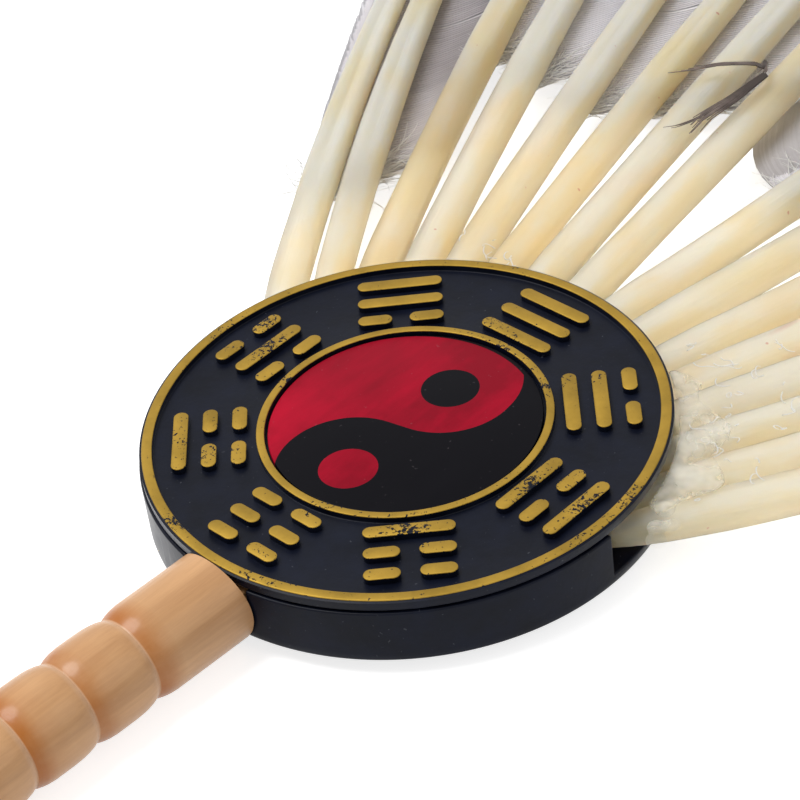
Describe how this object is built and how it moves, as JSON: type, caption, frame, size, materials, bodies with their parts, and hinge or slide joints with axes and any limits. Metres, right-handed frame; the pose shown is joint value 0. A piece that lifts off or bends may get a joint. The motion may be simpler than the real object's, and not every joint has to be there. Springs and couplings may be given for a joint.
{
  "type": "feather fan",
  "caption": "Goose-feather hand fan with a round black trigram and yin-yang hub and a ribbed turned wooden handle.",
  "frame": {"origin": "centre of the hub's flat underside", "axes": "+Z out of the hub's printed face, +Y from the handle towards the feathers, +X to the right seen from the printed face with the feathers up"},
  "size_m": [0.2635, 0.432, 0.0187],
  "materials": {
    "black_plastic": "satin black moulded plastic with gold foil on the raised rims and bars",
    "shell_plastic": "satin black moulded plastic",
    "printed_disc": "printed crimson and black, semi-gloss",
    "varnished_wood": "clear varnish, semi-gloss",
    "goose_feather": "translucent cream horn quill with grey-brown and white vanes",
    "hot_glue": "cloudy clear hot-melt glue"
  },
  "bodies": {
    "root": {"front_cover": "black_plastic", "back_shell": "shell_plastic", "yin_yang_insert": "printed_disc", "handle": "varnished_wood", "feather_left_1": "goose_feather", "feather_left_2": "goose_feather", "feather_left_3": "goose_feather", "feather_left_4": "goose_feather", "feather_left_5": "goose_feather", "feather_left_6": "goose_feather", "feather_left_7": "goose_feather", "feather_left_8": "goose_feather", "feather_right_1": "goose_feather", "feather_right_2": "goose_feather", "feather_right_3": "goose_feather", "feather_right_4": "goose_feather", "feather_right_5": "goose_feather", "feather_right_6": "goose_feather", "feather_right_7": "goose_feather", "feather_right_8": "goose_feather", "glue_bed": "hot_glue", "glue_spill": "hot_glue"}
  },
  "joints": []
}
